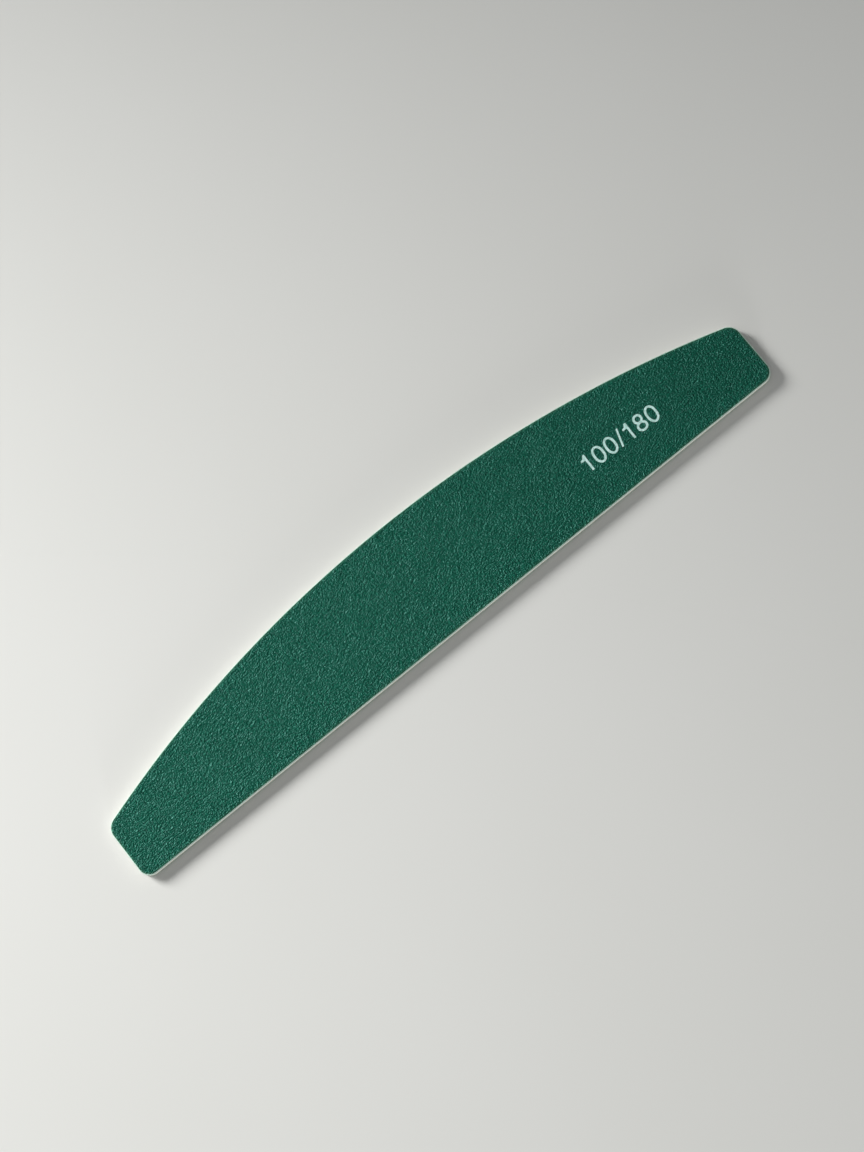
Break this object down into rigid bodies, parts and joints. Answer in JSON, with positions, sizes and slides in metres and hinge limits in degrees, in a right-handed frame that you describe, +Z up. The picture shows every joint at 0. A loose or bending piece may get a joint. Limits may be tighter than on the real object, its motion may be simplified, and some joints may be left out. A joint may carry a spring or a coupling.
{
  "type": "nail file",
  "caption": "Flat half-moon nail file: a rigid laminated board with one straight and one arched long edge, coarse grit on one face and fine grit on the other.",
  "frame": {"origin": "middle of the board's length and width, on the fine grit face that it lies on", "axes": "+X along the straight edge, +Y across the board from the straight edge to the arch, +Z up through the layers to the coarse grit face"},
  "size_m": [0.178, 0.029, 0.0024],
  "materials": {
    "rear_grit_coat": "fine abrasive grain in dark green resin, matte",
    "rear_backing_paper": "pale green waterproof paper, cut edge",
    "rear_adhesive_film": "thin amber adhesive film, satin",
    "core_board": "off-white die-cut plastic sheet, satin",
    "front_adhesive_film": "thin amber adhesive film, satin",
    "front_backing_paper": "pale green waterproof paper, cut edge",
    "front_grit_coat": "coarse abrasive grain in dark green resin, matte"
  },
  "bodies": {
    "root": {"rear_grit_coat": "rear_grit_coat", "rear_backing_paper": "rear_backing_paper", "rear_adhesive_film": "rear_adhesive_film", "core_board": "core_board", "front_adhesive_film": "front_adhesive_film", "front_backing_paper": "front_backing_paper", "front_grit_coat": "front_grit_coat"}
  },
  "joints": []
}
